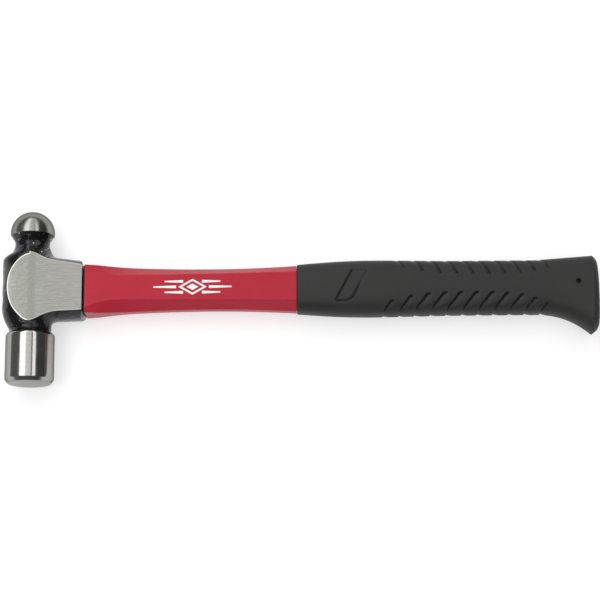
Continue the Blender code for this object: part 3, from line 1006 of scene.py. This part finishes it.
def ground_steel():
    """Ground cheeks: scratched along the handle, mottled with a painted highlight at the top end, dull
    between.
    """
    shader = Shader("ground_steel", (0.33, 0.33, 0.31), 0.15, Metallic=1.0)
    scratches = shader.noise(1.0, detail=4.0, stretch=(120.0, 1700.0, 70.0), roughness=0.7)
    mottle = shader.noise(800.0, detail=5.0, roughness=0.6)
    toward_handle = shader.spread(shader.axis("X"), -0.002, 0.010, 0.4, 1.0)
    grain = shader.mix(toward_handle, mottle, scratches)
    tone = shader.mix(shader.spread(grain, 0.3, 0.7), (0.165, 0.165, 0.152), (0.305, 0.305, 0.285))
    x = shader.axis("X")
    clean = shader.spread(x, 0.002, 0.026)
    dull_start, dull_end = shader.spread(x, -0.001, 0.0005), shader.spread(x, 0.0045, 0.003)
    dull = shader.calculate("MULTIPLY", dull_start, dull_end)
    # Painted highlight: lighter towards the top end, where a crowned edge would catch the light.
    top_end_highlight = shader.spread(x, -0.009, -0.013)
    for zone, share, colour in (
        (clean, 0.4, (0.32, 0.312, 0.293)),
        (dull, 0.6, (0.19, 0.195, 0.16)),
        (top_end_highlight, 0.7, (0.34, 0.34, 0.33)),
    ):
        tone = shader.mix(shader.calculate("MULTIPLY", zone, share), tone, colour)
    shader.colour(tone)
    shader.rough(shader.spread(grain, 0.3, 0.7, 0.2, 0.13))
    shader.bump(grain, 0.35, 0.02 * MM)
    return shader.material


def polished_steel(name, roughness, colour):
    """Polished or brushed steel, with fine marks that run round the head's axis."""
    shader = Shader(name, colour, roughness, Metallic=1.0, Specular_Tint=(0.35, 0.35, 0.35, 1.0))
    marks = shader.noise(1.0, detail=3.0, stretch=(40.0, 3200.0, 40.0))
    haze = shader.noise(150.0, detail=4.0)
    shader.rough(shader.spread(haze, 0.3, 0.7, roughness - 0.04, roughness + 0.06))
    darker = tuple(0.86 * part for part in colour)
    shader.colour(shader.mix(shader.spread(marks, 0.35, 0.65), darker, colour))
    shader.bump(marks, 0.25, 0.008 * MM)
    return shader.material


def face_steel():
    """The striking face: satin, blotched, with small dings."""
    shader = Shader("face_steel", (0.36, 0.355, 0.33), 0.34, Metallic=1.0)
    dings = shader.spread(shader.noise(380.0, detail=3.0), 0.6, 0.75)
    shader.colour(shader.mix(shader.noise(900.0, detail=5.0), (0.17, 0.17, 0.157), (0.30, 0.298, 0.28)))
    shader.bump(dings, 0.4, 0.05 * MM)
    return shader.material


def red_plastic():
    """Glossy red plastic with slow colour drift, sink marks and light scuffs."""
    shader = Shader("red_plastic", (0.415, 0.023, 0.041), 0.28, Specular_IOR_Level=0.11)
    drift = shader.noise(45.0, detail=2.0)
    scuffs = shader.spread(
        shader.noise(1.0, detail=5.0, stretch=(120.0, 1800.0, 900.0), roughness=0.7), 0.6, 0.78)
    base = shader.mix(shader.spread(drift, 0.3, 0.7), (0.40, 0.021, 0.039), (0.43, 0.025, 0.044))
    shader.colour(shader.mix(shader.calculate("MULTIPLY", scuffs, 0.2), base, (0.46, 0.07, 0.085)))
    shader.rough(shader.spread(scuffs, 0.0, 1.0, 0.27, 0.42))
    shader.bump(drift, 0.25, 0.15 * MM)
    shader.bump(shader.noise(2200.0, detail=2.0), 0.15, 0.01 * MM)
    return shader.material


def grip_rubber():
    """Matt dark grey rubber with a moulded stipple, and painted shade down the small holes."""
    shader = Shader("grip_rubber", (0.019, 0.019, 0.0183), 0.52, Specular_IOR_Level=0.28)
    stipple = shader.noise(3200.0, detail=2.0)
    drift = shader.noise(60.0, detail=3.0)
    tone = shader.mix(shader.spread(drift, 0.3, 0.7), (0.017, 0.017, 0.0163), (0.021, 0.021, 0.0203))
    # Painted shade: the small holes are darkened to near black, where shade falls down them.
    offsets = [shader.calculate("SUBTRACT", shader.axis(name), place * MM)
               for name, place in zip("XY", PIN_HOLE)]
    squares = [shader.calculate("MULTIPLY", offset, offset) for offset in offsets]
    reach = shader.calculate("SQRT", shader.calculate("ADD", *squares))
    hole_shade = shader.spread(reach, PIN_RADIUS * MM, 0.92 * PIN_RADIUS * MM)
    shader.colour(shader.mix(hole_shade, tone, (0.002, 0.002, 0.002)))
    shader.rough(shader.spread(drift, 0.3, 0.7, 0.48, 0.58))
    shader.bump(stipple, 0.5, 0.05 * MM)
    return shader.material


def seal_rubber():
    """Black rubber."""
    shader = Shader("seal_rubber", (0.012, 0.012, 0.012), 0.7)
    grain = shader.noise(1800.0, detail=3.0)
    shader.colour(shader.mix(grain, (0.008, 0.008, 0.008), (0.02, 0.02, 0.02)))
    shader.bump(grain, 0.3, 0.05 * MM)
    return shader.material


def epoxy_resin():
    """Dark amber adhesive, cast by hand."""
    shader = Shader("epoxy_resin", (0.12, 0.085, 0.04), 0.22)
    swirl = shader.noise(300.0, detail=4.0)
    shader.colour(shader.mix(shader.spread(swirl, 0.3, 0.7), (0.07, 0.05, 0.025), (0.16, 0.12, 0.06)))
    shader.bump(swirl, 0.5, 0.2 * MM)
    return shader.material


def fibreglass():
    """Pultruded fibreglass: lines along the rod, and dots where it is cut across."""
    shader = Shader("fibreglass", (0.62, 0.56, 0.38), 0.45)
    strands = shader.noise(1.0, detail=3.0, stretch=(60.0, 2600.0, 2600.0))
    shader.colour(shader.mix(shader.spread(strands, 0.35, 0.65), (0.42, 0.36, 0.22), (0.72, 0.66, 0.48)))
    shader.bump(strands, 0.4, 0.05 * MM)
    return shader.material


def emblem_ink():
    """Off-white printed ink, thin enough in places for the red to show."""
    shader = Shader("emblem_ink", (0.82, 0.76, 0.76), 0.4)
    wear = shader.spread(shader.noise(1400.0, detail=5.0, roughness=0.7), 0.66, 0.74)
    shader.colour(shader.mix(wear, (0.84, 0.78, 0.78), (0.50, 0.12, 0.14)))
    shader.bump(shader.noise(1200.0), 0.2, 0.02 * MM)
    return shader.material


# ---------------------------------------------------------------------- pieces


def finish_piece(item, replaced, material=None):
    """Give a piece its material, and its place in the frame."""
    if material:
        item.data.materials.clear()
        item.data.materials.append(material)
    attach(item, "root")
    if replaced:
        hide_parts(replaced)


polished = polished_steel("polished_steel", 0.14, (0.38, 0.376, 0.36))
brushed = polished_steel("brushed_steel", 0.24, (0.28, 0.28, 0.265))
head = make_head(painted_forging(), ground_steel(), polished, face_steel(), brushed)
finish_piece(head, "hammer_head")
finish_piece(make_core(), "handle_core", fibreglass())
finish_piece(make_epoxy(), "eye_epoxy", epoxy_resin())
finish_piece(make_ring(), "eye_seal_ring", seal_rubber())
finish_piece(make_jacket(), "handle_jacket", red_plastic())
finish_piece(make_emblem(), None, emblem_ink())
finish_piece(make_grip(), "grip", grip_rubber())


# ----------------------------------------------------------------------- stage

CENTRE = (cad_low + cad_high) / 2.0
FLOOR_SIZE = 12.0
LENS = 105.0
SENSOR = 36.0
CAMERA_DISTANCE = 1.0136
CAMERA_TILT = math.radians(13.0)
CAMERA_ROLL = math.radians(0.5)
AIM_DROP = 2.7 * MM


def make_floor():
    """A plain pale floor under the hammer, which glows a little so that shadows stay light."""
    mesh = bpy.data.meshes.new("floor")
    half = FLOOR_SIZE / 2.0
    corners = [(-half, -half, 0.0), (half, -half, 0.0), (half, half, 0.0), (-half, half, 0.0)]
    mesh.from_pydata(corners, [], [(0, 1, 2, 3)])
    floor = bpy.data.objects.new("floor", mesh)
    floor.location = (CENTRE.x, CENTRE.y, cad_low.z - 0.2 * MM)
    bpy.context.scene.collection.objects.link(floor)
    shader = Shader("pale_floor", (0.5, 0.5, 0.5), 0.7, Emission_Strength=0.55)
    shader.main.inputs["Emission Color"].default_value = (1.0, 1.0, 1.0, 1.0)
    tone = shader.noise(3.0, detail=2.0)
    shader.colour(shader.mix(tone, (0.49, 0.49, 0.49), (0.51, 0.51, 0.51)))
    floor.data.materials.append(shader.material)


def make_panel(name, centre, size, radiance):
    """A soft rectangular light that faces straight down."""
    light = bpy.data.lights.new(name, "AREA")
    light.shape = "RECTANGLE"
    light.size, light.size_y = size
    light.energy = radiance * size[0] * size[1] * math.pi
    panel = bpy.data.objects.new(name, light)
    panel.location = centre
    bpy.context.scene.collection.objects.link(panel)


def make_lights():
    """Three long panels high over the head: two bright ones with a dimmer one between.

    Each spans a range of angles, seen from the head, towards the butt.
    """
    height = 1.4
    near_y = -1.3
    far_y = 6.0
    for name, low_angle, high_angle, radiance in (
        ("left_softbox", -38.0, -11.0, 2.9),
        ("middle_panel", -10.6, 15.0, 1.25),
        ("right_strip", 21.0, 35.5, 2.2),
    ):
        low_x, high_x = [
            DATUM.x + height * math.tan(math.radians(angle)) for angle in (low_angle, high_angle)]
        centre = ((low_x + high_x) / 2.0, (near_y + far_y) / 2.0, height)
        make_panel(name, centre, (high_x - low_x, far_y - near_y), radiance)


def make_world():
    """A dim studio, darker towards the butt, with a pale band at the horizon."""
    world = bpy.data.worlds.new("studio")
    bpy.context.scene.world = world
    world.use_nodes = True
    tree = world.node_tree
    background = tree.nodes["Background"]
    place = tree.nodes.new("ShaderNodeTexCoord")
    split = tree.nodes.new("ShaderNodeSeparateXYZ")
    tree.links.new(place.outputs["Generated"], split.inputs[0])
    total = tree.nodes.new("ShaderNodeMath")
    ramps = {"X": (-0.6, 0.7, 0.19, 0.09), "Z": (0.0, 0.12, 0.3, 0.0)}
    for index, (axis, limits) in enumerate(ramps.items()):
        ramp = tree.nodes.new("ShaderNodeMapRange")
        tree.links.new(split.outputs[axis], ramp.inputs["Value"])
        for key, number in zip(RANGE_SOCKETS, limits):
            ramp.inputs[key].default_value = number
        tree.links.new(ramp.outputs["Result"], total.inputs[index])
    tree.links.new(total.outputs[0], background.inputs["Color"])


def make_camera():
    """A long lens over the hammer, tilted to show the striking face."""
    data = bpy.data.cameras.new("camera")
    data.lens = LENS
    data.sensor_width = SENSOR
    camera = bpy.data.objects.new("camera", data)
    bpy.context.scene.collection.objects.link(camera)
    back = Vector((0.0, -math.sin(CAMERA_TILT), math.cos(CAMERA_TILT)))
    level_up = Vector((0.0, math.cos(CAMERA_TILT), math.sin(CAMERA_TILT)))
    level_right = Vector((1.0, 0.0, 0.0))
    right = math.cos(CAMERA_ROLL) * level_right - math.sin(CAMERA_ROLL) * level_up
    up = math.sin(CAMERA_ROLL) * level_right + math.cos(CAMERA_ROLL) * level_up
    aim = Vector((CENTRE.x, CENTRE.y - AIM_DROP, DATUM.z))
    camera.matrix_world = Matrix.Translation(aim + back * CAMERA_DISTANCE) @ Matrix(
        (right, up, back)).transposed().to_4x4()
    bpy.context.scene.camera = camera


make_floor()
make_lights()
make_world()
make_camera()
bpy.context.scene.view_settings.view_transform = "Standard"
